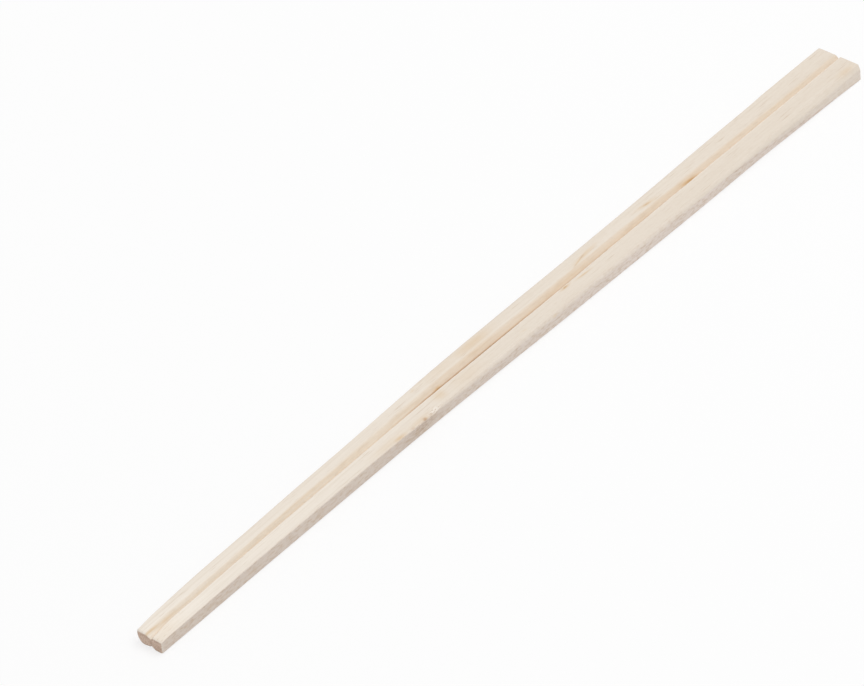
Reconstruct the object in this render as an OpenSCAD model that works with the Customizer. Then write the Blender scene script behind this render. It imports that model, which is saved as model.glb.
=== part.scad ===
// Pair of disposable wooden chopsticks, not yet pulled apart.
// One piece of wood: two tapered sticks side by side, split from the tip and joined at the butt.
// It lies on its flat underside, tip towards -X, butt towards +X, first stick on the +Y side.

/* [Length] */
// Overall length, tip to butt
pair_l = 203; // [180:1:240]
// Length left unsplit at the butt
joined_l = 47; // [20:1:80]
// Width of the saw cut between the sticks
kerf_w = 0.15; // [0.1:0.05:0.3]

/* [Width] */
// Width of the pair at the tip
tip_w = 5.4; // [5:0.1:7]
// Width of the pair at the shoulder, where the taper eases
shoulder_w = 8.2; // [7.4:0.1:10]
// Width of the pair at the butt
butt_w = 10; // [9:0.1:13]

/* [Thickness] */
// Thickness at the tip
tip_t = 2.8; // [2.6:0.05:3.4]
// Thickness at the shoulder
shoulder_t = 3.05; // [2.8:0.05:4]
// Thickness at the butt
butt_t = 3.2; // [2.9:0.05:4.2]

/* [Upper edges] */
// Softening of the long upper edges at the tip
tip_edge = 0.12; // [0.05:0.01:0.3]
// Planed chamfer of the long upper edges, past the crook
upper_chamfer = 0.55; // [0.3:0.05:0.8]
// Inward lean of the second stick's side between tip and crook
waist_lean = 0.2; // [0:0.05:0.4]
// The same lean at the worn butt
butt_lean = 0.35; // [0:0.05:0.6]

/* [Lower edges] */
// Rounding of the long lower edges
lower_round = 0.45; // [0.2:0.05:0.7]
// Sideways rounding of the first stick's lower edge at the tip
tip_round_w = 1.6; // [0.4:0.05:1.8]
// Height of that rounding
tip_round_h = 2.1; // [0.4:0.05:2.3]
// Lift of the first stick's underside at the tip
tip_lift = 0.4; // [0:0.05:0.6]
// Rounding of the second stick's lower edge at the tip
tip_round_b = 0.3; // [0.2:0.05:0.8]
// Rounding of both lower edges at the butt
butt_round = 0.15; // [0.1:0.05:0.6]

/* [Top groove] */
// Groove wall on the first stick, seen from above: at the tip
tip_wall_a = 0.8; // [0.4:0.05:1.2]
// The same wall where the groove is widest
mid_wall_a = 1.2; // [0.6:0.05:1.4]
// The same wall at the butt
butt_wall_a = 0.7; // [0.3:0.05:1.2]
// Groove wall on the second stick: at the tip
tip_wall_b = 0.25; // [0.2:0.05:0.6]
// The same wall where the groove is widest
mid_wall_b = 0.55; // [0.3:0.05:0.9]
// The same wall at the butt
butt_wall_b = 0.35; // [0.25:0.05:0.9]
// Depth of the groove at the tip
tip_groove_d = 0.6; // [0.3:0.05:0.8]
// Depth of the groove where it is widest
mid_groove_d = 0.75; // [0.4:0.05:0.95]
// Depth of the groove at the butt
butt_groove_d = 0.5; // [0.3:0.05:0.9]

/* [Underside groove] */
// Half the width of the shallow groove under the pair
under_half_w = 1.05; // [0.3:0.05:1.1]
// Depth of that groove
under_d = 0.6; // [0.2:0.05:0.7]

/* [Crook] */
// Sideways crook of the sticks beside the knot
crook = 1.05; // [0:0.05:1.6]

/* [Hidden] */

// Places along the length, as shares of it from the tip
crook_share = 0.36;
shoulder_share = 0.5;
groove_share = 0.42;
tip_round_share = 0.3;
butt_round_share = 0.95;
chamfer_start_share = 0.32;
chamfer_full_share = 0.44;
waist_start_share = 0.12;
waist_end_share = 0.26;
butt_lean_share = 0.85;
// Half the length over which a bend is eased
ease_share = 0.06;
// Most of the side that a lower rounding takes, and of the underside that the groove takes
room_share = 0.95;

ease_l = ease_share * pair_l;
slit_l = pair_l - joined_l;
split_steps = 30;
joined_steps = 10;
round_steps = 4;
wood = "#e6dccb";

// Zero before a place, then a straight rise of slope one, eased where the two meet
function ramp(x, place) =
    x <= place - ease_l ? 0
    : x >= place + ease_l ? x - place
    : pow(x - place + ease_l, 2) / (4 * ease_l);

// Two straight legs, tip to bend and bend to butt, with an eased bend
function legs(x, tip, bend, butt, share) =
    let (
        place = share * pair_l,
        first = (bend - tip) / place,
        second = (butt - bend) / (pair_l - place)
    )
    tip + first * x + (second - first) * ramp(x, place);

// Share of a smooth change between two places
function change(x, from, to) =
    let (s = min(1, max(0, (x / pair_l - from) / (to - from))))
    s * s * (3 - 2 * s);

function centre_y(x) = legs(x, 0, crook, 0, crook_share);
function half_w(x) = legs(x, tip_w, shoulder_w, butt_w, shoulder_share) / 2;
function thick(x) = legs(x, tip_t, shoulder_t, butt_t, shoulder_share);
function groove_depth(x) = legs(x, tip_groove_d, mid_groove_d, butt_groove_d, groove_share);
function chamfer(x) =
    tip_edge + (upper_chamfer - tip_edge) * change(x, chamfer_start_share, chamfer_full_share);
function side_lean(x) =
    waist_lean * (change(x, 0, waist_start_share) - change(x, waist_end_share, chamfer_full_share))
    + butt_lean * change(x, butt_lean_share, 1);
function rounding(x, tip) =
    tip + (lower_round - tip) * change(x, 0, tip_round_share)
    + (butt_round - lower_round) * change(x, butt_round_share, 1);

// A rounded lower edge in section, from the side wall down to the underside
function lower_edge(w, h) = [
    for (k = [0:round_steps])
        let (a = 90 * k / round_steps)
        [-w * (1 - cos(a)), h * (1 - sin(a))]
];

// One stick's outline at x, as [y, z] with y measured out from the saw cut's middle:
// from the cut's top edge over the top, down the side and under to the cut's lower edge
function stick(x, wall, lean, round_w, round_h, lift) =
    let (
        cut = kerf_w / 2,
        side = half_w(x),
        top = thick(x),
        flank = top - chamfer(x),
        groove_d = groove_depth(x),
        low_h = min(round_h, room_share * (flank - lift)),
        under_w = min(under_half_w, room_share * (side - round_w))
    )
    [
        [cut, top - groove_d * (1 - cut / wall)],
        [wall, top],
        [side - lean - chamfer(x), top],
        [side - lean, flank],
        for (p = lower_edge(round_w, low_h)) [side + p.x, lift + p.y],
        [under_w, lift],
        [cut, under_d * (1 - cut / under_w)]
    ];

function first_stick(x) = stick(
    x,
    legs(x, tip_wall_a, mid_wall_a, butt_wall_a, groove_share),
    0,
    rounding(x, tip_round_w),
    rounding(x, tip_round_h),
    tip_lift * (1 - change(x, 0, tip_round_share))
);

function second_stick(x) = stick(
    x,
    legs(x, tip_wall_b, mid_wall_b, butt_wall_b, groove_share),
    side_lean(x),
    rounding(x, tip_round_b),
    rounding(x, tip_round_b),
    0
);

// A whole row of points at x: first stick, underside groove, second stick backwards, top groove
function row(x) =
    let (first = first_stick(x), second = second_stick(x), last = len(second) - 1)
    [
        for (p = first) at(x, p.x, p.y),
        at(x, 0, under_d),
        for (k = [last:-1:0]) at(x, -second[k].x, second[k].y),
        at(x, 0, thick(x) - groove_depth(x))
    ];

// A point across the sticks at x, moved to its place along the crooked centre line
function at(x, y, z) = [x - pair_l / 2, centre_y(x) + y, z];

// Triangles that join one loop of points to the same loop in the next row, for each row in the run
function walls(loop, size, from, to) = [
    for (i = [from:to - 1], j = [0:len(loop) - 1])
        let (a = i * size + loop[j], b = i * size + loop[(j + 1) % len(loop)])
        each [[a, b, b + size], [a, b + size, a + size]]
];

function facing_butt(loop, size, i) = [for (j = loop) i * size + j];
function facing_tip(loop, size, i) = [for (k = [len(loop) - 1:-1:0]) i * size + loop[k]];

// The sticks are two skins up to the end of the saw cut and one skin from there to the butt
module chopstick_pair() {
    split_rows = [for (i = [0:split_steps]) row(slit_l * i / split_steps)];
    joined_rows = [for (i = [1:joined_steps]) row(slit_l + joined_l * i / joined_steps)];
    last = split_steps + joined_steps;
    size = len(split_rows[0]);
    half = size / 2;
    first = [0:half - 2];
    first_loop = [for (j = first) j];
    second_loop = [for (j = first) j + half];
    whole_loop = [for (j = [0:size - 1]) j];
    cut_end = [half - 2, half - 1, half, size - 2, size - 1, 0];
    color(wood)
        polyhedron(
            [for (r = concat(split_rows, joined_rows)) each r],
            concat(
                walls(first_loop, size, 0, split_steps),
                walls(second_loop, size, 0, split_steps),
                walls(whole_loop, size, split_steps, last),
                [
                    facing_tip(first_loop, size, 0),
                    facing_tip(second_loop, size, 0),
                    facing_tip(cut_end, size, split_steps),
                    facing_butt(whole_loop, size, last)
                ]
            )
        );
}

chopstick_pair();
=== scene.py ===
"""Looks for a pair of disposable wooden chopsticks that lies on a pale floor.

The wood is one closed mesh. It follows the solid's own sizes and adds softened edges, worn corners,
torn grain beside a knot and a ragged saw cut. Its masks say where each finish of the wood shows, and
where shade and highlights are painted on.
"""

import math
from collections import namedtuple

import bpy
import numpy as np
from bpy.props import FloatProperty, FloatVectorProperty, PointerProperty
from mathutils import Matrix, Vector, noise


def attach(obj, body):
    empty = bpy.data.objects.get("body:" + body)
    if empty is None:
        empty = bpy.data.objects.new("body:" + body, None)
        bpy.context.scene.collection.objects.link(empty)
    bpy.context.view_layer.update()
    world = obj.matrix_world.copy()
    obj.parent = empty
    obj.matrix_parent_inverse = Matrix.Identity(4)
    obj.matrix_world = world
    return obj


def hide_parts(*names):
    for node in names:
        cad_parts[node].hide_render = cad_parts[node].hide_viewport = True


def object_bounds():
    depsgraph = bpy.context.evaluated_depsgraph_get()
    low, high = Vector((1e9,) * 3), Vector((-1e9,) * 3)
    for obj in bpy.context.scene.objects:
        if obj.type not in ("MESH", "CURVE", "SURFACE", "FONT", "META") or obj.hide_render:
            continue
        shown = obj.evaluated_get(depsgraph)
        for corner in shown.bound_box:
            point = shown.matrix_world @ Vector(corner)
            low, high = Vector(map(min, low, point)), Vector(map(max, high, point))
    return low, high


bl_info = {
    "name": "Wooden chopsticks",
    "version": (1, 0, 0),
    "blender": (4, 5, 0),
    "location": "3D View > Sidebar > Chopsticks",
    "description": "Builds an unsplit pair of wooden chopsticks with its wood and a small studio",
    "category": "Add Mesh",
}

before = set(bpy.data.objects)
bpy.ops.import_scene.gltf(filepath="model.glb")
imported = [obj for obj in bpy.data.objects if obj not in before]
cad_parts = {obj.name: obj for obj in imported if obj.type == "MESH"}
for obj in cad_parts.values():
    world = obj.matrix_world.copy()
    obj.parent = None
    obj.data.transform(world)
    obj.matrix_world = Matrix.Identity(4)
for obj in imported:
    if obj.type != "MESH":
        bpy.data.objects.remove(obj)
CAD_LOW, CAD_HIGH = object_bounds()
CAD_SIZE = CAD_HIGH - CAD_LOW
NODE = "chopstick_pair"
BODY = "root"
MM = 0.001

# Places along the length, as shares of it from the tip
CROOK_SHARE = 0.36
SHOULDER_SHARE = 0.5
GROOVE_SHARE = 0.42
TIP_ROUND_SHARE = 0.3
CHAMFER_SHARES = (0.32, 0.44)
WAIST_SHARES = (0.12, 0.26)
BUTT_LEAN_SHARE = 0.85
BUTT_ROUND_SHARE = 0.95
WORN_SHARES = (0.8, 0.9)
STREAK_SHARES = (0.73, 0.79)
CRISP_SHARES = (0.7, 0.76)
# Half the length over which a bend is eased
EASE_SHARE = 0.06

# The saw cut opens between two places, closes slowly from a third, and has half closed over a spread
CUT_OPENS = (0.325, 0.397)
CUT_CLOSES = 0.45
CUT_SPREAD = 0.08
# Width of the cut where it is open and where it is closed, as shares of the saw's width
CUT_OPEN = 0.5
CUT_CLOSED = 0.2

# Most of the side that a lower rounding takes, and of the underside that the groove takes
ROOM_SHARE = 0.95
# Most of a face that the softening of its edge takes
ARC_ROOM = 0.45
# Least width of a planed face, and the most that a side swells
LEAST_FACE = 0.06 * MM
MOST_SWELL = 0.25 * MM
# Softness of other edges, as shares of the planed edges' softness
FIRST_RIM_SOFT = 2.6
SECOND_RIM_SOFT = 0.8
FLANK_SOFT = 1.5
UNDER_SOFT = 0.8
# How far wear at the butt brings the flank out and down and softens it, as shares of the wear
WORN_OUT = 0.25
WORN_DOWN = 0.6
WORN_SOFT = 0.15
# Where the rounding of a corner starts, as a share of the way from cut to side
CORNER_START = 0.3
# Width beside the cut that the slope at the tip spares
SPARED_WIDTH = 1.2 * MM
# Share of the second stick's set-back that the first one takes beside the cut
FIRST_SET_BACK = 0.35

# How finely the mesh is divided: rows, steps of softened edges, points inside each face
ROW_STEP = 0.5 * MM
TORN_STEP = 0.2 * MM
TORN_MARGIN = 1.6
# Rows closer than this to the end of the cut give way to its own row
ROW_LEAST = 0.1 * MM
ARC_STEPS = 4
LOWER_STEPS = 8
SPANS = {"groove": 6, "top": 22, "chamfer": 2, "side": 6, "under": 7, "under_groove": 2, "cut": 3}
# Rows close to a cut end, in multiples of the end's softness
END_ROWS = (0.35, 1.0, 2.2, 3.6)

# How the edges waver: first seed, then strength and step in mm of each noise
WAVERS = {
    "cut": (0, (0.35, 2.3), (0.25, 0.8)),
    "wall": (2, (0.8, 5.0), (0.45, 1.3)),
    "side": (4, (0.5, 14.0)),
    "ridge": (5, (0.5, 6.0)),
    "chamfer": (6, (0.4, 1.7)),
    "softness": (7, (0.5, 3.1)),
}
# How far the ridges are set in, as a share of the raggedness
RIDGE_SET_IN = 0.2
FIRST_SEED = 11
SECOND_SEED = 31

# Where the first stick's side swells or thins: share of the length, amount and spread in mm
FIRST_SWELLS = (
    (0.0, -0.2, 3),
    (0.085, 0.24, 14),
    (0.14, -0.06, 8),
    (0.24, -0.07, 14),
    (0.306, -0.24, 11),
    (0.357, -0.08, 7),
    (0.433, 0.2, 10),
    (0.485, 0.08, 8),
    (0.535, 0.07, 9),
    (0.69, -0.14, 22),
    (0.87, 0.04, 9),
    (0.925, 0.24, 5),
    (0.965, 0.08, 4),
)
# The same for the second stick's side, its top edge and the foot of its side
SECOND_SWELLS = ((0.19, 0.08, 25),)
SECOND_LEANS = ((0.19, -0.12, 24), (0.52, 0.13, 22), (0.935, -0.1, 10), (1.0, 0.2, 3))
SECOND_FEET = ((0.16, -0.07, 18), (0.33, -0.05, 9), (0.46, -0.09, 13), (0.845, -0.21, 14))
# Bumps on that top edge, beside the knot
EDGE_BUMPS = ((0.34, 0.1, 1.6), (0.356, 0.2, 2.2))
# Where the first stick's groove wall is wider or narrower
WALL_SWELLS = ((0.0, 0.15, 9), (0.11, -0.1, 8), (0.19, -0.13, 14))
# Where the cut bends towards the second stick, and where the centre line wanders to the first
CUT_BENDS = ((0.06, 0.12, 8), (0.45, 0.05, 10), (0.56, 0.12, 13))
WANDERS = ((0.19, 0.08, 25),)

# Stains: distance from the tip, offset from the middle, half length and half width in mm, slope, strength
TINTS = (
    (1.2, 0.58, 2.4, 0.25, 0.0, 0.62),
    (5.6, 0.45, 2.6, 0.3, 0.0, 0.3),
    (0.5, -1.4, 7.0, 2.0, 0.0, 0.19),
    (63.0, -2.7, 6.0, 1.0, -0.03, 0.22),
    (65.4, -3.05, 2.4, 0.65, -0.05, 0.48),
    (65.4, -3.12, 1.8, 0.45, -0.05, 0.66),
    (71.5, -3.2, 4.5, 0.9, 0.0, 0.3),
    (72.1, -3.5, 1.3, 0.55, 0.0, 0.5),
    (85.0, 2.6, 7.0, 1.8, 0.0, 0.14),
    (86.0, -2.2, 5.5, 2.0, 0.0, 0.14),
    (78.8, -1.6, 2.0, 1.4, 0.0, 0.3),
    (80.6, 0.2, 1.3, 0.3, 0.0, 0.74),
    (76.9, 2.8, 0.8, 0.3, 0.1, 0.3),
    (93.4, 2.5, 6.4, 1.35, 0.0, 0.36),
    (123.7, 1.65, 2.0, 0.28, 0.2, 0.6),
    (125.6, 1.9, 4.5, 0.5, 0.08, 0.42),
    (119.8, 0.35, 6.5, 0.5, 0.01, 0.2),
    (116.2, -0.92, 1.5, 0.36, 0.0, 0.75),
    (121.2, -1.33, 2.2, 0.2, -0.05, 0.78),
    (102.0, -2.5, 0.9, 0.22, -0.1, 0.25),
    (108.9, -4.04, 0.6, 0.2, 0.0, 0.28),
    (144.6, 1.84, 1.8, 0.26, -0.15, 0.7),
    (144.6, 1.84, 3.4, 0.5, -0.1, 0.36),
    (155.8, 0.08, 3.4, 0.42, -0.08, 0.7),
    (199.6, -3.6, 2.8, 0.8, 0.0, 0.28),
)
# Dark hearts of knots and streaks, in the same way
HEARTS = (
    (72.1, -3.5, 0.5, 0.36, 0.0, 0.7),
    (68.8, -3.45, 0.6, 0.25, 0.0, 0.3),
    (80.6, 0.16, 0.7, 0.16, 0.0, 0.22),
    (125.0, 1.93, 0.9, 0.14, 0.22, 0.5),
    (122.4, 1.38, 0.7, 0.13, 0.2, 0.25),
    (116.2, -0.95, 0.5, 0.16, 0.0, 0.6),
    (121.2, -1.33, 1.2, 0.1, -0.05, 0.15),
    (144.5, 1.86, 0.8, 0.12, -0.15, 0.4),
    (155.9, 0.1, 1.9, 0.19, -0.06, 0.38),
)
# Fibres bend round a knot: how far along, how far aside and how strongly, in sizes of its heart
KNOT_REACH = 2.2
KNOT_SPREAD = 3.0
KNOT_BEND = 0.5

# Torn grain on the second stick's side: distance from the tip, height, half length, half height
TORN = (71.5 * MM, 1.8 * MM, 6.0 * MM, 1.3 * MM)
TORN_DEPTH = 0.1 * MM
# Its coarse and fine pits: size in mm along, across and up, seed, weight beside an even wear
TORN_PITS = (((1.1, 0.35, 0.35), 3, 0.8), ((0.45, 0.16, 0.16), 4, 0.5))
TORN_EVEN = 0.3
# Chips along that stick's edge, in the same way as the stains
CHIPS = ((75.0, -3.3, 2.0, 0.55, 0.0, 1.0), (69.8, -3.75, 2.6, 0.3, 0.0, 0.6))
# Share of the thickness above which a point counts as on top
UPPER_SHARE = 0.55

# How far the groove's colour reaches over its softened rim, on the first stick and less on the second
RIM_GROOVE = {"rim0": 1.0, "rim1": 0.9, "rim2": 0.75, "rim3": 0.5, "rim4": 0.2}
SECOND_RIM_GROOVE = 0.4
# Painted highlight along the second stick's rim, where the cut is open
RIM_HIGHLIGHT = {"rim2": 0.5, "rim3": 0.6, "rim4": 0.6}
# At the tip the groove's colour is kept in a line: offset, half width, share that goes elsewhere
TIP_LINE = (0.6 * MM, 0.35 * MM, 0.8)
# Painted shade of the open cut, a dark line on the groove beside it: half width, strength, and the share
# that goes at the tip
CUT_SHADE_LINE = (0.2 * MM, 0.93, 0.7)
# How rough the sawn faces are, and the chamfers short of the crisp part
SAWN = {"side": 1.0, "under": 0.5}
CHAMFER_SAWN = 0.4
# The sides are smoother and paler at the cut end of the tip, partly wear and partly a painted highlight
# along that edge: half length, share
SMOOTH_HIGHLIT_TIP = (0.4 * MM, 0.5)
# Wear at the butt leaves a line on the second stick's side, and smooths the wood above it
WORN_LINE_PLACE = 169 * MM
WORN_LINE_HEIGHT = 1.95 * MM
WORN_LINE_SLOPE = -0.068
WORN_LINE_HALF = 0.18 * MM
WORN_SMOOTH_OVER = 3.0
WORN_SMOOTH = 0.65
# Painted shade along the lower edge at the butt: height, half height, strength
LOW_EDGE_SHADE = (0.2 * MM, 0.22 * MM, 0.35)

# Patterns in the wood: scale per metre along, across and through the fibres, detail, roughness
PATTERNS = {
    "band": ((9, 380, 210), 2.0, 0.5),
    "fibre": ((40, 2300, 2300), 3.0, 0.6),
    "fine": ((190, 8200, 8200), 2.0, 0.6),
    "mottle": ((120, 420, 420), 3.0, 0.55),
    "pore": ((230, 5200, 5200), 1.0, 0.4),
    "grit": ((800, 2600, 2600), 3.0, 0.6),
    "blotch": ((420, 1900, 1900), 3.0, 0.6),
    "speck": ((1100, 3200, 3200), 4.0, 0.65),
    "end_speck": ((300, 5400, 5400), 3.0, 0.65),
    "ring": ((12, 700, 1500), 2.0, 0.5),
}
# Layers drawn from them: pattern, levels where it starts to show and shows fully, strength, colour
LAYERS = {
    "bands": ("band", 0.42, 0.72, 0.42, "band"),
    "fibres": ("fibre", 0.48, 0.76, 0.6, "band"),
    "pores": ("pore", 0.66, 0.78, 0.42, "pore"),
    "top_grit": ("grit", 0.45, 0.68, 0.09, "pore"),
    "side_mottle": ("mottle", 0.4, 0.75, 0.4, "band"),
    "side_grit": ("grit", 0.45, 0.68, 0.54, "pore"),
    "groove_streaks": ("fibre", 0.35, 0.75, 0.2, "tint"),
    "groove_blotches": ("blotch", 0.45, 0.7, 0.22, "pore"),
    "end_specks": ("end_speck", 0.42, 0.66, 0.6, "end_pore"),
    "rings": ("ring", 0.42, 0.62, 0.32, "end_pore"),
    "specks": ("speck", 0.42, 0.62),
}
# Marks over the finishes: what breaks the mask up, least share, gain, strength, colour
MARKS = {
    "tint": ("mottle", 0.45, 1.1, 0.75, "tint"),
    "torn": ("specks", 0.08, 0.42, 1.0, "torn"),
    # The streak mark also paints shade along the second stick's lower edge at the butt
    "streak": ("mottle", 0.1, 0.3, 1.0, "torn"),
    # The chip mark gives pale chips beside the knot and a painted highlight on the second stick's rim
    "chip": ("specks", 1.3, -1.3, 1.0, "tip_wood"),
    "heart": ("mottle", 0.55, 0.9, 0.8, "heart"),
    # The cut mark gives the cut walls' colour and painted shade along the open cut
    "cut": ("fine", 0.7, 0.6, 1.0, "cut"),
}
# The groove's finish is broken up in the same way
GROOVE_BREAKS = ("mottle", 0.6, 0.65, 1.0)
# What stands up or lies deep in the bump: pattern or layer, mask that limits it, height
RELIEF = (
    ("fibre", None, 0.5),
    ("fine", None, 0.35),
    ("mottle", "sawn", 0.5),
    ("pores", None, -0.35),
    ("specks", "torn", -0.8),
)
BUMP_STRENGTH = 0.22
BUMP_DISTANCE = 0.12 * MM
# Roughness of planed wood, and what sawing and the fibres add to it
ROUGHNESS = 0.62
SAWN_ROUGHNESS = 0.12
FIBRE_ROUGHNESS = 0.1
SPECULAR = 0.28
# How far the tip's colour gives way to the butt's: share of the length, level
TOP_CHANGE = ((0.0, 0.0), (0.5, 0.73), (1.0, 1.0))
SIDE_CHANGE = ((0.0, 0.0), (0.3, 0.02), (0.42, 0.42), (0.65, 0.86), (0.8, 0.8), (1.0, 1.0))
GROOVE_CHANGE = ((0.32, 0.0), (0.44, 1.0), (0.8, 1.0), (0.9, 0.4), (0.97, 0.7))
# Finishes: colours at the tip and the butt, how one gives way to the other, layers over them
FINISHES = {
    "planed": ("tip_wood", "butt_wood", TOP_CHANGE, ("bands", "fibres", "pores")),
    "sawn": ("tip_side", "butt_side", SIDE_CHANGE, ("side_mottle", "side_grit")),
    "groove": ("tip_groove", "groove", GROOVE_CHANGE, ("groove_streaks", "groove_blotches")),
    "end": ("end_grain", "end_grain", TOP_CHANGE, ("end_specks", "rings")),
}

# Sharpest fold that is still shaded as one round face
SMOOTH_ANGLE = math.radians(50)
# Studio: half the floor's side, its gap under the wood, the softbox, the camera's sensor and clip
FLOOR_REACH = 3.0
FLOOR_GAP = 0.02 * MM
SOFTBOX_SIZE = (1.1, 0.9)
SOFTBOX_PLACE = (0.35, -0.2, 1.25)
SENSOR_WIDTH = 36.0
CAMERA_CLIP = (0.05, 20.0)
WHITE = (1, 1, 1, 1)


def linear(red, green, blue):
    """A colour as a screen shows it, 0 to 255, in the renderer's linear values."""
    return tuple(((c / 255 + 0.055) / 1.055) ** 2.4 for c in (red, green, blue))


def number_prop(name, description, default, **kind):
    """A number that a user may change."""
    return FloatProperty(name=name, description=description, default=default, **kind)


def length_prop(name, description, size):
    """A length of the wood, given in mm, that a user may change."""
    return number_prop(name, description, size * MM, min=0.0, unit="LENGTH", precision=5)


def lengths_prop(name, description, *sizes):
    """Lengths at the tip, at a bend and at the butt, given in mm, that a user may change."""
    default = [size * MM for size in sizes]
    return FloatVectorProperty(
        name=name, description=description, default=default, min=0.0, unit="LENGTH", precision=5
    )


def colour_prop(name, description, default):
    """A colour of the wood or the studio that a user may change."""
    return FloatVectorProperty(
        name=name, description=description, default=default, min=0.0, max=1.0, size=3, subtype="COLOR"
    )


class ChopstickSizes(bpy.types.PropertyGroup):
    """Sizes of the pair, the same as the solid's, and of its wear"""

    length: length_prop("Length", "Overall length, tip to butt", CAD_SIZE.x / MM)
    joined: length_prop("Joined length", "Length left unsplit at the butt", 47)
    kerf: length_prop("Saw cut", "Width of the saw cut between the sticks", 0.15)
    width: lengths_prop("Width", "At tip, shoulder and butt", 5.4, 8.2, CAD_SIZE.y / MM)
    thickness: lengths_prop("Thickness", "At tip, shoulder and butt", 2.8, 3.05, CAD_SIZE.z / MM)
    tip_edge: length_prop("Tip edge", "Softening of the long upper edges at the tip", 0.12)
    chamfer: length_prop("Chamfer", "Planed chamfer past the crook", 0.55)
    waist_lean: length_prop("Waist lean", "Second side's lean short of the crook", 0.2)
    butt_lean: length_prop("Butt lean", "Inward lean of that side at the worn butt", 0.35)
    lower_round: length_prop("Lower rounding", "Rounding of the long lower edges", 0.45)
    tip_round_width: length_prop("Tip rounding", "First stick's lower edge at the tip", 1.6)
    tip_round_height: length_prop("Tip rounding height", "Height of that rounding", 2.1)
    tip_lift: length_prop("Tip lift", "Lift of the first stick's underside at the tip", 0.4)
    tip_round_second: length_prop("Second tip rounding", "Second stick's lower edge there", 0.3)
    butt_round: length_prop("Butt rounding", "Lower edges at the butt", 0.15)
    first_wall: lengths_prop("First wall", "First groove wall at tip, widest and butt", 0.8, 1.2, 0.7)
    second_wall: lengths_prop("Second wall", "Second groove wall there", 0.25, 0.55, 0.35)
    groove: lengths_prop("Groove depth", "Top groove at tip, widest and butt", 0.6, 0.75, 0.5)
    under_half: length_prop("Under groove", "Half the width of the groove underneath", 1.05)
    under_depth: length_prop("Under groove depth", "Depth of the groove underneath", 0.6)
    crook: length_prop("Crook", "Sideways crook of the sticks beside the knot", 1.05)
    end_softness: length_prop("End softness", "Rounding of the cut ends' edges", 0.07)
    edge_softness: length_prop("Edge softness", "Rounding of the long planed edges", 0.1)
    flank_softness: length_prop("Flank softness", "More rounding below the chamfers", 0.45)
    raggedness: length_prop("Raggedness", "How far the planed edges wander", 0.05)
    corner: length_prop("Tip corner", "Rounding of the first outer corner at the tip", 0.3)
    second_corner: length_prop("Second tip corner", "The second stick's corner there", 0.28)
    tip_wear: length_prop("Tip wear", "Rounding of the cut end's upper edge at the tip", 0.4)
    second_drop: length_prop("Second tip drop", "Slope of the second stick's top there", 0.3)
    butt_wear: length_prop("Butt wear", "Wear of the long upper edges at the butt", 0.6)
    butt_corner: length_prop("Butt corner", "Rounding of the first corner there", 0.38)
    tip_drift: length_prop("Tip drift", "Drift of the cut to the second stick at the tip", 0.4)
    tip_flare: length_prop("Tip flare", "Groove opened into the second stick there", 0.3)
    flare_reach: length_prop("Flare reach", "Length over which drift and flare fade", 3.5)
    set_back: length_prop("Tip set-back", "Set-back of the second lower edge at the tip", 0.3)
    set_back_reach: length_prop("Set-back reach", "Length of that and of the drop", 2.5)


class ChopstickColours(bpy.types.PropertyGroup):
    """Colours of the wood"""

    tip_wood: colour_prop("Wood at the tip", "Planed faces near the tip", linear(247, 239, 228))
    butt_wood: colour_prop("Wood at the butt", "Planed faces near the butt", linear(230, 219, 205))
    band: colour_prop("Growth bands", "Slightly darker bands of the grain", linear(224, 211, 195))
    pore: colour_prop("Pores", "Short dark vessels in the grain", linear(196, 170, 142))
    tip_side: colour_prop("Sawn side, tip", "Rough sides near the tip", linear(220, 207, 196))
    butt_side: colour_prop("Sawn side, butt", "Rough sides near the butt", linear(235, 223, 214))
    tip_groove: colour_prop("Groove, tip", "Groove walls near the tip", linear(232, 220, 204))
    groove: colour_prop("Groove", "Groove walls past the crook", linear(229, 213, 194))
    # The saw cut's colour is partly the sawn walls' own and partly painted shade of the open cut
    cut: colour_prop("Saw cut", "Walls of the saw cut", linear(172, 118, 46))
    end_grain: colour_prop("End grain", "Cut ends of the sticks", linear(223, 200, 182))
    end_pore: colour_prop("End pores", "Dark specks in the end grain", linear(160, 126, 102))
    tint: colour_prop("Stain", "Orange tint round knots and streaks", linear(211, 163, 78))
    heart: colour_prop("Knot", "Dark heart of the knots", linear(165, 112, 54))
    # The torn grain's colour also paints the shade along the second stick's lower edge at the butt
    torn: colour_prop("Torn grain", "Rough specks beside the knot", linear(166, 134, 104))


class ChopstickStudio(bpy.types.PropertyGroup):
    """Floor, light and camera"""

    floor: colour_prop("Floor", "Colour of the floor", (0.94, 0.94, 0.94))
    floor_lift: number_prop(
        "Floor lift", "How far the floor is lifted to white", 0.75, min=0.0, max=1.0, subtype="FACTOR"
    )
    distance: number_prop("Distance", "From the lens to the aim point", 1.04917, unit="LENGTH")
    elevation: number_prop("Elevation", "Camera above the floor", math.radians(38.391), subtype="ANGLE")
    heading: number_prop("Heading", "Look from +X to +Y", math.radians(36.894), subtype="ANGLE")
    aim: FloatVectorProperty(
        name="Aim", description="Point on the floor in the middle of the picture",
        default=(-8.908 * MM, 11.354 * MM, 0.0), size=3, unit="LENGTH", precision=5,
    )
    lens: number_prop("Lens", "Focal length on a 36 mm sensor", 250.0, unit="CAMERA")
    sky: number_prop("Sky", "Strength of the even light from all round", 0.61, min=0.0)
    softbox: number_prop("Softbox", "Power of the overhead softbox", 8.25, unit="POWER")


def ramp(x, place, ease):
    """Zero before a place, then a straight rise of slope one, eased where the two meet."""
    past = x - place
    eased = (past + ease) ** 2 / (4 * ease)
    return np.where(past <= -ease, 0.0, np.where(past >= ease, past, eased))


def change(share, start, end):
    """Share of a smooth change between two places."""
    s = np.clip((share - start) / (end - start), 0.0, 1.0)
    return s * s * (3 - 2 * s)


def bell(distance):
    """A soft spot: one in the middle, near zero from twice the half size."""
    return np.exp(-(distance ** 2) * 1.6)


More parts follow.
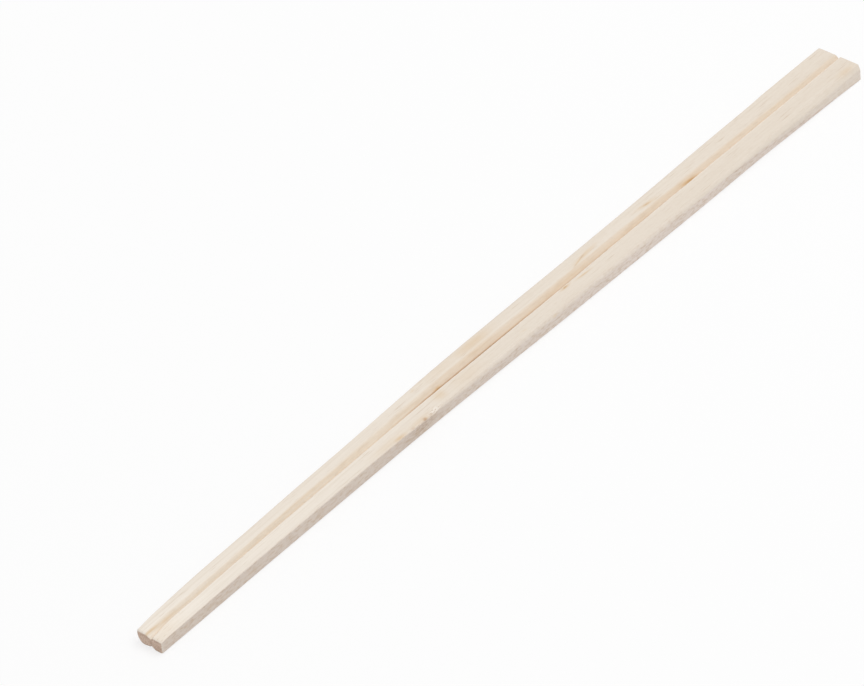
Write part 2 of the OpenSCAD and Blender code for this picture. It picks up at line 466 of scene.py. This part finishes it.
def cut_gape(share):
    """How far the saw cut stands open, 0 to 1."""
    closing = np.maximum(share - CUT_CLOSES, 0) / CUT_SPREAD
    return change(share, *CUT_OPENS) / (1 + closing ** 2)


def ripple(points, seed):
    """Smooth noise between -1 and 1 at each point."""
    shift = Vector((seed * 7.31, seed * 3.17, seed * 5.77))
    return np.array([noise.noise(Vector(p) + shift) for p in points])


def along(x, step, seed):
    """Smooth noise along the length that changes about once each step."""
    return ripple(np.stack([x / step, 0 * x, 0 * x], -1), seed)


def swell(x, length, places):
    """Sum of listed swellings: share of the length, amount and spread in mm."""
    return sum(
        amount * MM * np.exp(-(((x - share * length) / (spread * MM)) ** 2))
        for share, amount, spread in places
    )


def corner_inset(reach, radius):
    """How far a face draws in at a rounded corner, by its reach from the corner."""
    past = np.clip(1 - reach / radius, 0, 1)
    return radius * (1 - np.sqrt(1 - past * past))


class Taper:
    """The sizes of the sticks' section at each row along the length."""

    def __init__(self, sizes, x):
        s = sizes
        self.sizes = s
        self.x = x
        self.share = x / s.length
        self.half = self.legs(*s.width, SHOULDER_SHARE) / 2
        self.top = self.legs(*s.thickness, SHOULDER_SHARE)
        self.centre = self.legs(0.0, s.crook, 0.0, CROOK_SHARE) + swell(x, s.length, WANDERS)
        self.flare = np.exp(-((x / s.flare_reach) ** 2))
        self.bend = swell(x, s.length, CUT_BENDS)
        self.drift = s.tip_drift * self.flare + self.bend
        self.groove = self.legs(*s.groove, GROOVE_SHARE)
        self.first_wall = self.legs(*s.first_wall, GROOVE_SHARE) + swell(x, s.length, WALL_SWELLS)
        self.second_wall = self.legs(*s.second_wall, GROOVE_SHARE) + s.tip_flare * self.flare
        self.lift = s.tip_lift * (1 - change(self.share, 0.0, TIP_ROUND_SHARE))
        self.planed = change(self.share, *CHAMFER_SHARES)
        self.chamfer = s.tip_edge + (s.chamfer - s.tip_edge) * self.planed
        waist_start, waist_end = WAIST_SHARES
        waist = change(self.share, 0.0, waist_start)
        waist = waist - change(self.share, waist_end, CHAMFER_SHARES[1])
        self.lean = s.waist_lean * waist + s.butt_lean * change(self.share, BUTT_LEAN_SHARE, 1.0)
        self.worn = change(self.share, *WORN_SHARES)
        self.near_tip = np.clip(1 - x / s.set_back_reach, 0, 1) ** 2
        self.end_inset = corner_inset(np.minimum(x, s.length - x), s.end_softness)

    def legs(self, tip, bend, butt, share):
        """Two straight legs, tip to bend and bend to butt, with an eased bend."""
        length = self.sizes.length
        place = share * length
        first = (bend - tip) / place
        second = (butt - bend) / (length - place)
        return tip + first * self.x + (second - first) * ramp(self.x, place, EASE_SHARE * length)

    def rounding(self, tip):
        """Lower rounding that starts at its own size at the tip."""
        s = self.sizes
        usual = tip + (s.lower_round - tip) * change(self.share, 0.0, TIP_ROUND_SHARE)
        return usual + (s.butt_round - s.lower_round) * change(self.share, BUTT_ROUND_SHARE, 1.0)


Stick = namedtuple("Stick", "wall rim_soft lean round_width round_height lift swells leans feet seed")


def first_stick(taper):
    """The first stick's own sizes: a wide groove wall, and a lower edge cut away at the tip."""
    sizes = taper.sizes
    return Stick(
        wall=taper.first_wall, rim_soft=FIRST_RIM_SOFT, lean=0 * taper.x, lift=taper.lift,
        round_width=taper.rounding(sizes.tip_round_width),
        round_height=taper.rounding(sizes.tip_round_height),
        swells=FIRST_SWELLS, leans=(), feet=(), seed=FIRST_SEED,
    )


def second_stick(taper):
    """The second stick's own sizes: a steep groove wall, and a side that leans."""
    rounding = taper.rounding(taper.sizes.tip_round_second)
    lean = taper.lean - swell(taper.x, taper.sizes.length, EDGE_BUMPS)
    return Stick(
        wall=taper.second_wall, rim_soft=SECOND_RIM_SOFT, lean=lean, lift=0 * taper.x,
        round_width=rounding, round_height=rounding,
        swells=SECOND_SWELLS, leans=SECOND_LEANS, feet=SECOND_FEET, seed=SECOND_SEED,
    )


def arc_over(before, corner, after, softness, steps):
    """Points of a softened corner in every row, from the edge before it to the edge after it."""
    back = before - corner
    on = after - corner
    back_length = np.linalg.norm(back, axis=1, keepdims=True)
    on_length = np.linalg.norm(on, axis=1, keepdims=True)
    start = corner + back / back_length * np.minimum(softness[:, None], ARC_ROOM * back_length)
    end = corner + on / on_length * np.minimum(softness[:, None], ARC_ROOM * on_length)
    shares = np.linspace(0, 1, steps + 1)
    return [(1 - t) ** 2 * start + 2 * t * (1 - t) * corner + t * t * end for t in shares]


def between(start, end, count):
    """Points inside a straight stretch for every row, without its ends."""
    return [start + (end - start) * (k + 1) / (count + 1) for k in range(count)]


def stick_outline(taper, stick):
    """One stick's outline in every row, as (out from the cut, height), and the zone of each point.

    It runs from the cut's top edge over the top, down the side, under and back up the cut.
    """
    sizes = taper.sizes
    x = taper.x
    rag = sizes.raggedness

    def waver(name):
        seed, *parts = WAVERS[name]
        return sum(
            strength * along(x, step * MM, stick.seed + seed + k)
            for k, (strength, step) in enumerate(parts)
        )

    def swelled(places):
        return swell(x, sizes.length, places)

    def point(out, height):
        return np.stack([out + 0 * x, height + 0 * x], -1)

    open_share = CUT_CLOSED + (CUT_OPEN - CUT_CLOSED) * cut_gape(taper.share)
    cut = sizes.kerf / 2 * (1 + waver("cut")) * open_share
    wall = np.maximum(stick.wall + rag * waver("wall"), cut + LEAST_FACE)
    side = taper.half + swelled(stick.swells) + rag * waver("side")
    side = np.minimum(side, np.minimum(taper.half + MOST_SWELL, sizes.width[-1] / 2))
    edge = np.minimum(side - stick.lean, side)
    ridge = edge - taper.chamfer + swelled(stick.leans) + rag * (waver("ridge") - RIDGE_SET_IN)
    ridge = np.minimum(ridge, edge - LEAST_FACE)
    chamfer = np.maximum(taper.chamfer + rag * waver("chamfer"), LEAST_FACE)
    soft = sizes.edge_softness * (1 + waver("softness"))
    wear = sizes.butt_wear * taper.worn
    flank_soft = FLANK_SOFT * soft + WORN_SOFT * wear
    flank_soft = flank_soft + sizes.flank_softness * taper.planed * (1 - taper.worn)

    cut_top = point(cut, taper.top - taper.groove * (1 - cut / wall))
    rim = point(wall, taper.top)
    shoulder = point(ridge, taper.top)
    flank = point(np.minimum(edge + WORN_OUT * wear, side), taper.top - chamfer - WORN_DOWN * wear)
    round_height = np.minimum(stick.round_height, ROOM_SHARE * (flank[:, 1] - stick.lift))
    foot = side + swelled(stick.feet)
    lower = [
        point(
            foot - stick.round_width * (1 - math.cos(a)),
            stick.lift + round_height * (1 - math.sin(a)),
        )
        for a in np.linspace(0, math.pi / 2, LOWER_STEPS + 1)
    ]
    under_half = np.minimum(sizes.under_half, ROOM_SHARE * (side - stick.round_width))
    under_rim = point(under_half, stick.lift)
    cut_under = point(cut, sizes.under_depth * (1 - cut / under_half))

    rim_arc = arc_over(cut_top, rim, shoulder, stick.rim_soft * soft, ARC_STEPS)
    shoulder_arc = arc_over(rim, shoulder, flank, soft, ARC_STEPS)
    flank_arc = arc_over(shoulder, flank, lower[0], flank_soft, ARC_STEPS + 2)
    under_arc = arc_over(lower[-1], under_rim, cut_under, UNDER_SOFT * soft, ARC_STEPS - 1)
    rows = []
    zones = []

    def add(zone, points):
        rows.extend(points)
        zones.extend([zone] * len(points))

    def span(zone, start, end):
        add(zone, between(start, end, SPANS[zone]))

    add("groove", [cut_top])
    span("groove", cut_top, rim_arc[0])
    for k, rounded in enumerate(rim_arc):
        add(f"rim{k}", [rounded])
    span("top", rim_arc[-1], shoulder_arc[0])
    add("ridge", shoulder_arc)
    span("chamfer", shoulder_arc[-1], flank_arc[0])
    add("chamfer", flank_arc[:ARC_STEPS])
    add("side", flank_arc[ARC_STEPS:])
    span("side", flank_arc[-1], lower[0])
    add("side", lower)
    span("under", lower[-1], under_arc[0])
    add("under", under_arc)
    span("under_groove", under_arc[-1], cut_under)
    add("under_groove", [cut_under])
    span("cut", cut_under, cut_top)
    return np.stack(rows, 1), zones


def outward(outline):
    """Unit vectors out of the wood at each point of closed outlines that run over the top and down."""
    run = np.roll(outline, -1, axis=1) - np.roll(outline, 1, axis=1)
    normal = np.stack([-run[..., 1], run[..., 0]], -1)
    return normal / np.maximum(np.linalg.norm(normal, axis=-1, keepdims=True), 1e-9)


def row_places(sizes):
    """Places of the rows: even, closer where grain is torn, with a few more at the softened ends."""
    place, _, half_length, _ = TORN
    reach = TORN_MARGIN * half_length
    torn = np.arange(place - reach, place + reach, TORN_STEP)
    near = sizes.end_softness * np.array(END_ROWS)
    cut_end = sizes.length - sizes.joined
    even = np.linspace(0, sizes.length, round(sizes.length / ROW_STEP) + 1)
    even = even[(even == 0) | (even > near[-1])]
    even = even[(even == even[-1]) | (even < sizes.length - near[-1])]
    even = even[np.abs(even - cut_end) > ROW_LEAST]
    even = even[(even < torn[0] - TORN_STEP) | (even > torn[-1] + TORN_STEP)]
    return np.unique(np.concatenate([even, torn, near, sizes.length - near, [cut_end]]))


def draw_corners(outline, half, inset):
    """Draws the outer part of a stick in, and leaves the part by the cut."""
    outer = change(outline[..., 0] / half[:, None], CORNER_START, 1.0)
    outline[..., 0] -= inset[:, None] * outer


def wear_down(outline, top, drop, spared=0.0):
    """Lowers the upper part of a stick in each row, less within a spared width beside the cut."""
    upper = np.clip(2 * outline[..., 1] / top[:, None] - 1, 0, 1)
    outer = np.clip(outline[..., 0] / spared, 0, 1) if spared else 1.0
    outline[..., 1] -= drop[:, None] * upper * upper * outer


def ovals(places, distance, out):
    """Soft oval spots, the strongest where they meet."""
    spots = 0.0
    for *lengths, slope, strength in places:
        place, offset, half_length, half_width = (MM * value for value in lengths)
        ahead = distance - place
        aside = out - offset - slope * ahead
        spots = np.maximum(spots, strength * bell(np.hypot(ahead / half_length, aside / half_width)))
    return spots


def torn_patch(distance, out, height, on_side, upper):
    """How torn the second stick is: on its side beside the knot, and in chips along its edge."""
    place, middle, half_length, half_height = TORN
    patch = bell(np.hypot((distance - place) / half_length, (height - middle) / half_height))
    patch = patch * on_side * (out < 0)
    return np.maximum(patch, ovals(CHIPS, distance, out) * upper)


def tear(outline, taper, zones):
    """Pits the torn grain into the second stick, beside the knot."""
    place, _, half_length, _ = TORN
    near = np.abs(taper.x - place) < 2 * half_length
    part = outline[near]
    out = part[..., 0]
    height = part[..., 1]
    distance = taper.x[near][:, None] + 0 * out
    on_side = np.array([zone == "side" for zone in zones])[None]
    upper = height > UPPER_SHARE * taper.top[near][:, None]
    spot = torn_patch(distance, -out, height, on_side, upper)
    points = np.stack([distance, out, height], -1).reshape(-1, 3)
    pits = TORN_EVEN + sum(
        weight * ripple(points / np.array(size) / MM, seed).reshape(spot.shape)
        for size, seed, weight in TORN_PITS
    )
    depth = np.clip(pits, 0, 1) * spot * TORN_DEPTH
    outline[near] = part - outward(part) * depth[..., None]


def shape_sticks(taper):
    """Outlines of both sticks, worn, torn and softened, and the zones of their points."""
    sizes = taper.sizes
    x = taper.x
    first, zones = stick_outline(taper, first_stick(taper))
    second, _ = stick_outline(taper, second_stick(taper))
    butt_inset = corner_inset(sizes.length - x, sizes.butt_corner)
    draw_corners(first, taper.half, corner_inset(x, sizes.corner) + butt_inset)
    draw_corners(second, taper.half, corner_inset(x, sizes.second_corner))
    tear(second, taper, zones)
    for outline in (first, second):
        wear_down(outline, taper.top, corner_inset(x, sizes.tip_wear))
    wear_down(second, taper.top, sizes.second_drop * taper.near_tip, SPARED_WIDTH)
    for outline in (first, second):
        outline -= outward(outline) * taper.end_inset[:, None, None]
    return first, second, zones


def placed(outline, taper, sign):
    """A stick's points in the frame, with its cut drifted and its lower edge set back at the tip."""
    sizes = taper.sizes
    near_cut = np.clip(1 - outline[..., 0] / taper.half[:, None], 0, 1) ** 2
    across = taper.centre[:, None] + sign * outline[..., 0] - taper.drift[:, None] * near_cut
    low = (1 - outline[..., 1] / taper.top[:, None]).clip(0)
    set_back = sizes.set_back * taper.near_tip[:, None] * low
    here = taper.x[:, None] + set_back * (FIRST_SET_BACK * near_cut if sign > 0 else 1.0)
    return np.stack([here - sizes.length / 2, across, outline[..., 1]], -1)


def middle_line(taper, height):
    """Points along the middle of the cut at a height for each row."""
    return np.stack([taper.x - taper.sizes.length / 2, taper.centre - taper.drift, height], -1)[:, None]


def wood_faces(rows, zones, split_row):
    """Faces of the two sticks up to the end of the cut, of the joined part after it, and of the ends.

    Each row holds the first stick's points, the second's, the top groove's middle and the lower one's.
    """
    per_stick = len(zones)
    size = 2 * per_stick + 2
    open_count = zones.index("cut")
    closed = list(range(per_stick))
    second_closed = [per_stick + k for k in closed][::-1]
    first = closed[:open_count]
    second = [per_stick + k for k in first]
    apex = 2 * per_stick
    under = apex + 1
    whole = first + [under] + second[::-1] + [apex]
    first_wall = closed[open_count:]
    second_wall = [per_stick + k for k in first_wall][::-1]
    web = [first[0], apex, second[0]] + second_wall + [second[-1], under, first[-1]] + first_wall
    faces = []

    def skin(loop, start, end):
        for i in range(start * size, end * size, size):
            for a, b in zip(loop, loop[1:] + loop[:1]):
                faces.append((i + a, i + size + a, i + size + b, i + b))

    def cap(loop, row, towards_tip):
        ring = [row * size + k for k in loop]
        faces.append(tuple(ring if towards_tip else ring[::-1]))

    skin(closed, 0, split_row)
    skin(second_closed, 0, split_row)
    skin(whole, split_row, rows - 1)
    cap(closed, 0, True)
    cap(second_closed, 0, True)
    cap(whole, rows - 1, False)
    cap(web, split_row, False)
    return faces


def build_wood(sizes):
    """The pair's points in rows along the length, its faces, zones and taper."""
    taper = Taper(sizes, row_places(sizes))
    first, second, zones = shape_sticks(taper)
    apex = middle_line(taper, taper.top - taper.groove - taper.end_inset)
    under = middle_line(taper, sizes.under_depth + taper.end_inset)
    grid = np.concatenate([placed(first, taper, 1), placed(second, taper, -1), apex, under], 1)
    grid = np.clip(grid, np.array(CAD_LOW), np.array(CAD_HIGH))
    split_row = int(np.argmin(np.abs(taper.x - (sizes.length - sizes.joined))))
    faces = wood_faces(len(taper.x), zones, split_row)
    return grid, faces, zones + zones + ["groove", "under_groove"], taper


class Surface:
    """Where the points of the wood lie, and masks that say, 0 to 1, which finish shows there and where
    shade and highlights are painted.
    """

    def __init__(self, grid, zones, taper):
        self.zones = np.array(zones)
        self.bend = taper.bend[:, None]
        self.out = grid[..., 1] - taper.centre[:, None]
        self.height = grid[..., 2]
        self.distance = taper.x[:, None]
        self.share = taper.share[:, None]
        self.flare = taper.flare[:, None]
        self.worn = taper.worn[:, None]
        self.side = self.zones == "side"
        self.second_side = self.side & (self.out < 0)
        self.upper = (self.height > UPPER_SHARE * taper.top[:, None]) & ~self.side
        line = WORN_LINE_HEIGHT + WORN_LINE_SLOPE * (self.distance - WORN_LINE_PLACE)
        self.above_line = (self.height - line) / WORN_LINE_HALF
        self.torn = torn_patch(self.distance, self.out, self.height, self.side, self.upper)

    def masks(self):
        """All masks by name. The ends show in the last two rows at either end."""
        ends = np.zeros(self.out.shape)
        ends[[0, 1, -2, -1]] = 1.0
        return {
            "groove": self.groove(),
            "sawn": self.sawn(),
            "cut": self.cut(),
            "end": ends,
            "tint": ovals(TINTS, self.distance, self.out) * self.upper,
            "heart": ovals(HEARTS, self.distance, self.out) * self.upper,
            "torn": self.torn,
            "streak": self.streak(),
            "chip": self.chip(),
        }

    def weights(self, by_zone):
        """The weight of each point's zone, zero where none is given."""
        return np.array([by_zone.get(zone, 0.0) for zone in self.zones])

    def groove(self):
        """Walls of both grooves, faded over their rims and thinned to a line at the tip."""
        rims = self.weights(RIM_GROOVE) * np.where(self.out > 0, 1.0, SECOND_RIM_GROOVE)
        walls = np.maximum(self.weights({"groove": 1.0, "under_groove": 1.0}), rims)
        offset, half_width, gone = TIP_LINE
        beside_line = 1 - bell((self.out - offset) / half_width)
        return walls * (1 - gone * self.flare * beside_line)

    def cut(self):
        """Walls of the cut, and painted shade of the open cut: a dark line on the groove along it where
        it stands open.
        """
        half_width, strength, gone = CUT_SHADE_LINE
        line = bell((self.out + self.bend) / half_width) * (self.zones == "groove")
        walls = self.weights({"cut": 1.0}) * (1 - gone * self.flare)
        return np.maximum(walls, line * strength * cut_gape(self.share))

    def sawn(self):
        """Rough faces, smoother at the tip's end, where the paler planed colour is partly a painted
        highlight, and above the worn line at the butt.
        """
        rough = self.weights({"chamfer": CHAMFER_SAWN}) * (1 - change(self.share, *CRISP_SHARES))
        rough = rough + self.weights(SAWN)
        half_length, smoothed_and_highlit = SMOOTH_HIGHLIT_TIP
        rough = rough * (1 - smoothed_and_highlit * bell(self.distance / half_length) * self.side)
        worn = self.worn * change(self.above_line, 0.0, WORN_SMOOTH_OVER)
        return rough * (1 - WORN_SMOOTH * self.second_side * worn)

    def streak(self):
        """Dark line of wear on the second stick's side, and painted shade along its lower edge at the
        butt.
        """
        line = change(self.share, *STREAK_SHARES) * bell(self.above_line)
        height, half_height, strength = LOW_EDGE_SHADE
        low_edge_shade = bell((self.height - height) / half_height) * self.worn
        return self.second_side * np.maximum(line, strength * low_edge_shade)

    def chip(self):
        """Pale chips beside the knot, and a painted highlight along the second stick's rim."""
        rim = self.weights(RIM_HIGHLIGHT) * (self.out < 0) * change(self.share, *CUT_OPENS)
        return np.maximum(self.torn * self.upper, rim)

    def fibre_places(self):
        """Coordinates that follow the fibres: along the crook, and bent round the knots."""
        bent = self.out.copy()
        for *lengths, _, strength in HEARTS:
            place, offset, half_length, half_width = (MM * value for value in lengths)
            aside = self.out - offset
            reach = bell((self.distance - place) / (KNOT_REACH * half_length))
            reach = reach * bell(aside / (KNOT_SPREAD * half_width))
            bent -= strength * KNOT_BEND * half_width * reach * np.tanh(aside / half_width)
        return np.stack([self.distance + 0 * bent, bent, self.height], -1)


class Value:
    """A shader socket. Arithmetic on it adds Math nodes."""

    def __init__(self, graph, socket):
        self.graph = graph
        self.socket = socket

    def math(self, operation, first, second):
        return self.graph.node("ShaderNodeMath", {"operation": operation}, {0: first, 1: second})

    def __add__(self, other):
        return self.math("ADD", self, other)

    def __sub__(self, other):
        return self.math("SUBTRACT", self, other)

    def __rsub__(self, other):
        return self.math("SUBTRACT", other, self)

    def __mul__(self, other):
        return self.math("MULTIPLY", self, other)

    def __truediv__(self, other):
        return self.math("DIVIDE", self, other)

    def __rtruediv__(self, other):
        return self.math("DIVIDE", other, self)

    __radd__ = __add__
    __rmul__ = __mul__

    def clamped(self):
        return self.math("MAXIMUM", self.math("MINIMUM", self, 1.0), 0.0)


class Graph:
    """The nodes of one material or world."""

    def __init__(self, owner):
        owner.use_nodes = True
        self.tree = owner.node_tree
        self.tree.nodes.clear()

    def node(self, kind, settings=None, sockets=None, out=0):
        """Adds a node: its settings, then its sockets' values or links. Gives one of its outputs."""
        made = self.tree.nodes.new(kind)
        for name, setting in (settings or {}).items():
            if name == "stops":
                self.set_stops(made.color_ramp, setting)
            else:
                setattr(made, name, setting)
        for key, value in (sockets or {}).items():
            if isinstance(value, Value):
                self.tree.links.new(value.socket, made.inputs[key])
            else:
                made.inputs[key].default_value = value
        return Value(self, made.outputs[out]) if made.outputs else None

    @staticmethod
    def set_stops(color_ramp, stops):
        while len(color_ramp.elements) < len(stops):
            color_ramp.elements.new(0.5)
        for element, (position, level) in zip(color_ramp.elements, stops):
            element.position = position
            element.color = (level, level, level, 1.0)

    def attribute(self, name, out):
        return self.node("ShaderNodeAttribute", {"attribute_name": name}, out=out)

    def mask(self, name):
        return self.attribute(name, "Fac")

    def grain(self, place, scale, detail, roughness):
        scaled = self.node("ShaderNodeVectorMath", {"operation": "MULTIPLY"}, {0: place, 1: scale})
        sockets = {"Vector": scaled, "Scale": 1.0, "Detail": detail, "Roughness": roughness}
        return self.node("ShaderNodeTexNoise", {}, sockets, "Fac")

    def ramp(self, value, *stops):
        return self.node("ShaderNodeValToRGB", {"stops": stops}, {"Fac": value})

    def mix(self, factor, first, second):
        sockets = {0: factor, 6: first, 7: second}
        return self.node("ShaderNodeMix", {"data_type": "RGBA"}, sockets, 2)

    def seen(self):
        """One where the picture, a reflection or clear glass shows this, zero where it only lights."""
        rays = ("Is Camera Ray", "Is Glossy Ray", "Is Transmission Ray")
        camera, glossy, through = (self.node("ShaderNodeLightPath", out=ray) for ray in rays)
        return (camera + glossy + through).clamped()


def rgba(colour):
    return (*colour, 1.0)


class PaleWood:
    """The pale wood's colour, relief and gloss, put together from its patterns and masks."""

    def __init__(self, graph, colours, length):
        self.graph = graph
        self.colours = {name: rgba(getattr(colours, name)) for name in colours.__annotations__}
        place = graph.attribute("fibre_place", "Vector")
        distance = graph.node("ShaderNodeSeparateXYZ", {}, {0: place}, "X")
        self.share = (distance / length).clamped()
        self.shows = {name: graph.grain(place, *pattern) for name, pattern in PATTERNS.items()}
        for name, (pattern, low, high, *_) in LAYERS.items():
            self.shows[name] = graph.ramp(self.shows[pattern], (low, 0.0), (high, 1.0))

    def over(self, wood, layer, within=1.0):
        """Lays a layer over the wood, evenly or within a share that varies."""
        *_, strength, colour = LAYERS[layer]
        return self.graph.mix(self.shows[layer] * (strength * within), wood, self.colours[colour])

    def finish(self, name):
        """A finish without marks: its colour along the length, and its layers."""
        tip, butt, stops, layers = FINISHES[name]
        along = self.graph.ramp(self.share, *stops)
        wood = self.graph.mix(along, self.colours[tip], self.colours[butt])
        for layer in layers:
            wood = self.over(wood, layer)
        return wood

    def broken(self, mask, name, least, gain, strength):
        """A mask that a pattern or layer breaks up."""
        return (self.graph.mask(mask) * (least + gain * self.shows[name])).clamped() * strength

    def colour(self):
        """All finishes and marks, each where its mask shows it."""
        mix = self.graph.mix
        gritty = self.graph.ramp(self.share, *TOP_CHANGE)
        planed = self.over(self.finish("planed"), "top_grit", gritty)
        wood = mix(self.graph.mask("sawn"), planed, self.finish("sawn"))
        wood = mix(self.broken("groove", *GROOVE_BREAKS), wood, self.finish("groove"))
        for mask, (*breaks, colour) in MARKS.items():
            wood = mix(self.broken(mask, *breaks), wood, self.colours[colour])
        return mix(self.graph.mask("end"), wood, self.finish("end"))

    def relief(self):
        """Fibres, pores and rough patches as a bump."""
        height = 0.0
        for name, mask, rise in RELIEF:
            part = self.shows[name] * rise
            height = height + (part * self.graph.mask(mask) if mask else part)
        sockets = {"Strength": BUMP_STRENGTH, "Distance": BUMP_DISTANCE, "Height": height}
        return self.graph.node("ShaderNodeBump", {}, sockets)

    def roughness(self):
        sawn = self.graph.mask("sawn")
        return ROUGHNESS + SAWN_ROUGHNESS * sawn + FIBRE_ROUGHNESS * self.shows["fibre"]


def wood_material(colours, length):
    """Pale planed wood: grain, pores, sawn sides, tan grooves, end grain, stains and knots."""
    material = bpy.data.materials.new("pale_planed_wood")
    graph = Graph(material)
    wood = PaleWood(graph, colours, length)
    sockets = {
        "Base Color": wood.colour(),
        "Roughness": wood.roughness(),
        "Specular IOR Level": SPECULAR,
        "Normal": wood.relief(),
    }
    shader = graph.node("ShaderNodeBsdfPrincipled", {}, sockets)
    graph.node("ShaderNodeOutputMaterial", {}, {"Surface": shader})
    return material


def floor_material(colour, lift):
    """Pale floor that shows white to the camera and keeps the soft shadow."""
    material = bpy.data.materials.new("pale_floor")
    graph = Graph(material)
    paint = graph.node("ShaderNodeBsdfDiffuse", {}, {"Color": rgba(colour)})
    white = graph.node("ShaderNodeEmission", {}, {"Color": WHITE, "Strength": 1.0})
    both = graph.node("ShaderNodeMixShader", {}, {0: graph.seen() * lift, 1: paint, 2: white})
    graph.node("ShaderNodeOutputMaterial", {}, {"Surface": both})
    return material


def sky_world(strength):
    """Even light from all round that shows white to the camera."""
    world = bpy.data.worlds.new("studio_sky")
    graph = Graph(world)
    sky = graph.node("ShaderNodeBackground", {}, {"Color": WHITE, "Strength": strength})
    white = graph.node("ShaderNodeBackground", {}, {"Color": WHITE, "Strength": 1.0})
    both = graph.node("ShaderNodeMixShader", {}, {0: graph.seen(), 1: sky, 2: white})
    graph.node("ShaderNodeOutputWorld", {}, {"Surface": both})
    return world


def mesh_object(name, vertices, faces):
    """A new object from plain lists, linked to the scene."""
    mesh = bpy.data.meshes.new(name)
    mesh.from_pydata(vertices, [], faces)
    mesh.update()
    made = bpy.data.objects.new(name, mesh)
    bpy.context.scene.collection.objects.link(made)
    return made


class CHOPSTICKS_OT_wood(bpy.types.Operator):
    """Builds the pair as one closed piece of wood"""

    bl_idname = "chopsticks.wood"
    bl_label = "Wooden pair"

    def execute(self, context):
        sizes = context.scene.chopstick_sizes
        grid, faces, zones, taper = build_wood(sizes)
        points = grid.reshape(-1, 3)
        used = np.unique(np.concatenate([np.array(face) for face in faces]))
        number = np.full(len(points), -1)
        number[used] = np.arange(len(used))
        faces = [number[list(face)].tolist() for face in faces]
        pair = mesh_object("wood_pair", points[used].tolist(), faces)
        mesh = pair.data
        surface = Surface(grid, zones, taper)
        for name, mask in surface.masks().items():
            layer = mesh.attributes.new(name, "FLOAT", "POINT")
            layer.data.foreach_set("value", mask.reshape(-1)[used].astype(np.float32))
        fibre = surface.fibre_places().reshape(-1, 3)[used]
        layer = mesh.attributes.new("fibre_place", "FLOAT_VECTOR", "POINT")
        layer.data.foreach_set("vector", fibre.astype(np.float32).ravel())
        mesh.shade_smooth()
        mesh.set_sharp_from_angle(angle=SMOOTH_ANGLE)
        mesh.materials.append(wood_material(context.scene.chopstick_colours, sizes.length))
        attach(pair, BODY)
        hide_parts(NODE)
        return {"FINISHED"}


class CHOPSTICKS_OT_stage(bpy.types.Operator):
    """Lays the floor and sets the light and the camera"""

    bl_idname = "chopsticks.stage"
    bl_label = "Stage"

    def execute(self, context):
        scene = context.scene
        studio = scene.chopstick_studio
        self.lay_floor(studio)
        scene.world = sky_world(studio.sky)
        self.hang_softbox(scene, studio)
        self.aim_camera(scene, studio)
        scene.view_settings.view_transform = "Standard"
        return {"FINISHED"}

    def lay_floor(self, studio):
        reach = FLOOR_REACH
        corners = [(-reach, -reach, 0), (reach, -reach, 0), (reach, reach, 0), (-reach, reach, 0)]
        floor = mesh_object("floor", corners, [(0, 1, 2, 3)])
        floor.location.z = CAD_LOW.z - FLOOR_GAP
        floor.data.materials.append(floor_material(studio.floor, studio.floor_lift))

    def hang_softbox(self, scene, studio):
        lamp = bpy.data.lights.new("overhead_softbox", "AREA")
        lamp.shape = "RECTANGLE"
        lamp.size, lamp.size_y = SOFTBOX_SIZE
        lamp.energy = studio.softbox
        softbox = bpy.data.objects.new("overhead_softbox", lamp)
        softbox.location = SOFTBOX_PLACE
        softbox.rotation_euler = (-softbox.location).to_track_quat("-Z", "Y").to_euler()
        scene.collection.objects.link(softbox)

    def aim_camera(self, scene, studio):
        level = math.cos(studio.elevation)
        east = math.cos(studio.heading) * level
        north = math.sin(studio.heading) * level
        look = Vector((east, north, -math.sin(studio.elevation)))
        data = bpy.data.cameras.new("camera")
        data.sensor_fit = "HORIZONTAL"
        data.sensor_width = SENSOR_WIDTH
        data.lens = studio.lens
        data.clip_start, data.clip_end = CAMERA_CLIP
        camera = bpy.data.objects.new("camera", data)
        camera.location = Vector(studio.aim) - look * studio.distance
        camera.rotation_euler = look.to_track_quat("-Z", "Y").to_euler()
        scene.collection.objects.link(camera)
        scene.camera = camera


class CHOPSTICKS_PT_panel(bpy.types.Panel):
    """Lists the pieces and their settings"""

    bl_label = "Chopsticks"
    bl_idname = "CHOPSTICKS_PT_panel"
    bl_space_type = "VIEW_3D"
    bl_region_type = "UI"
    bl_category = "Chopsticks"

    def draw(self, context):
        layout = self.layout
        layout.operator(CHOPSTICKS_OT_wood.bl_idname)
        layout.operator(CHOPSTICKS_OT_stage.bl_idname)
        for group in GROUPS:
            settings = getattr(context.scene, group)
            box = layout.box()
            for name in settings.__annotations__:
                box.prop(settings, name)


GROUPS = {
    "chopstick_sizes": ChopstickSizes,
    "chopstick_colours": ChopstickColours,
    "chopstick_studio": ChopstickStudio,
}
CLASSES = (*GROUPS.values(), CHOPSTICKS_OT_wood, CHOPSTICKS_OT_stage, CHOPSTICKS_PT_panel)


def register():
    for cls in CLASSES:
        bpy.utils.register_class(cls)
    for name, group in GROUPS.items():
        setattr(bpy.types.Scene, name, PointerProperty(type=group))


def unregister():
    for name in GROUPS:
        delattr(bpy.types.Scene, name)
    for cls in reversed(CLASSES):
        bpy.utils.unregister_class(cls)


def main():
    register()
    bpy.ops.chopsticks.wood()
    bpy.ops.chopsticks.stage()


if __name__ == "__main__":
    main()
